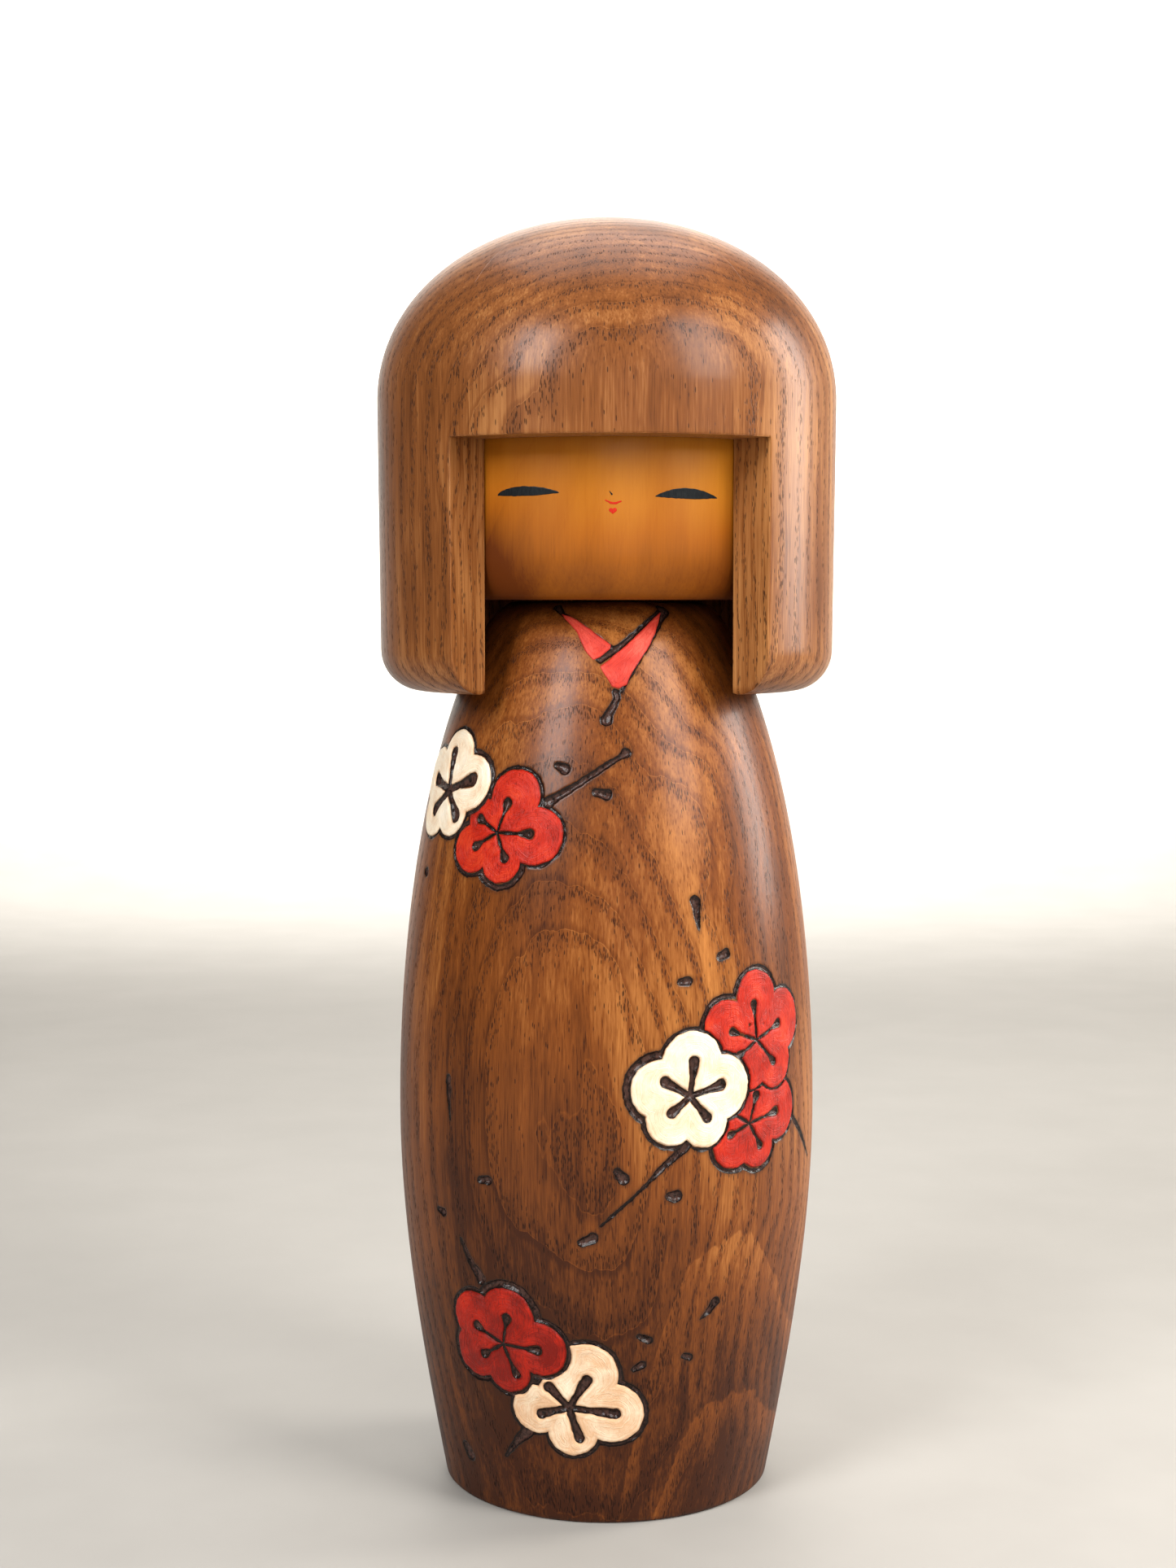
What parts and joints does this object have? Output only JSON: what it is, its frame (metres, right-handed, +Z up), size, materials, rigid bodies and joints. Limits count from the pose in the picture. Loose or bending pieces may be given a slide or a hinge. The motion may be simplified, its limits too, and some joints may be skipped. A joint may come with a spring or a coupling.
{
  "type": "kokeshi doll",
  "caption": "Turned wooden doll with a bell of hair over a drum head that swivels on a peg in a barrel body, for standing on a shelf.",
  "frame": {"origin": "centre of the foot, on the surface that the doll stands on", "axes": "+Z up along the turning axis, the face looks towards -Y, +X is to the right seen from the front"},
  "size_m": [0.095, 0.095, 0.263],
  "materials": {
    "stained_wood": "brown stained ring-porous wood, satin varnish",
    "face_wood": "honey stained fine-grained wood, satin varnish",
    "bare_wood": "bare turned hardwood",
    "red_paint": "thick brushed acrylic paint, satin",
    "cream_paint": "thick brushed acrylic paint, satin",
    "ink": "thin brushed ink on varnished wood"
  },
  "bodies": {
    "body": {"body": "stained_wood"},
    "head": {"head": "face_wood", "hair": "stained_wood", "neck_peg": "bare_wood"}
  },
  "joints": [
    {"name": "head_turn", "type": "hinge", "parent": "body", "child": "head", "pos_m": [0, 0, 0.1847], "axis": [0, 0, 1], "continuous": true}
  ]
}
